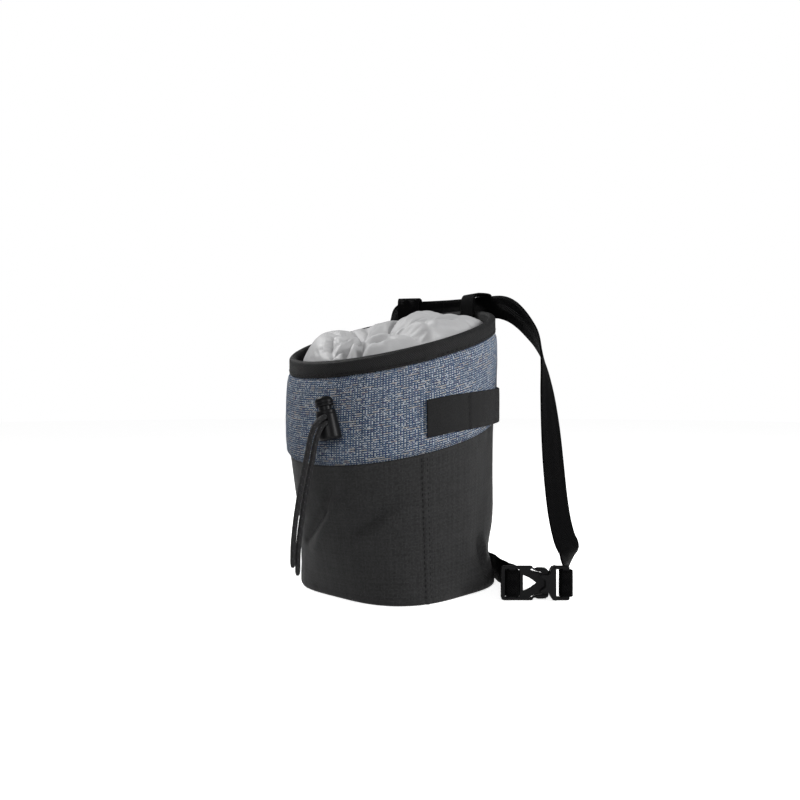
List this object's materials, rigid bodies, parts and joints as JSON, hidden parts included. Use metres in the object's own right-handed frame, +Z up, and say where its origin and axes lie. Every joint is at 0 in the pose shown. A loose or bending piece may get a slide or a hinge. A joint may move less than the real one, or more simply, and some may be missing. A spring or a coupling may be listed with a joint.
{
  "type": "climbing chalk bag",
  "caption": "Cylindrical chalk bag with slanted bound rim, padded tweed band, gathered nylon closure, drawcord with cord lock, brush strip, and webbing waist belt with a side-release buckle.",
  "frame": {"origin": "centre of the flat bottom, on the surface that the bag stands on", "axes": "+Z up along the bag, -Y to the front with the cord lock, +X to the side with the brush strip and the buckle"},
  "size_m": [0.1755, 0.1745, 0.1849],
  "materials": {
    "black_cloth": "plain-weave black bag cloth",
    "blue_tweed": "coarse blue, navy and light grey melange weave",
    "black_tape": "black herringbone binding tape",
    "grey_nylon": "light grey smooth nylon",
    "black_webbing": "black herringbone webbing",
    "black_plastic": "satin black moulded plastic",
    "black_cord": "black braided cord"
  },
  "bodies": {
    "bag": {"lower_body": "black_cloth", "base_panel": "black_cloth", "upper_panel": "blue_tweed", "rim_binding": "black_tape", "inner_collar": "grey_nylon", "brush_strip": "black_tape", "belt_loop_left": "black_webbing", "belt_loop_right": "black_webbing", "waist_belt": "black_webbing", "buckle_male": "black_plastic", "buckle_female": "black_plastic", "cord_lock_barrel": "black_plastic", "drawcord_left": "black_cord", "drawcord_right": "black_cord"},
    "button": {"cord_lock_button": "black_plastic"}
  },
  "joints": [
    {"name": "button_press", "type": "slide", "parent": "bag", "child": "button", "axis": [0.2066, 0.0228, -0.9782], "range_m": [0, 0.002], "stiffness_N_per_m": 300, "springref_m": -0.001}
  ]
}
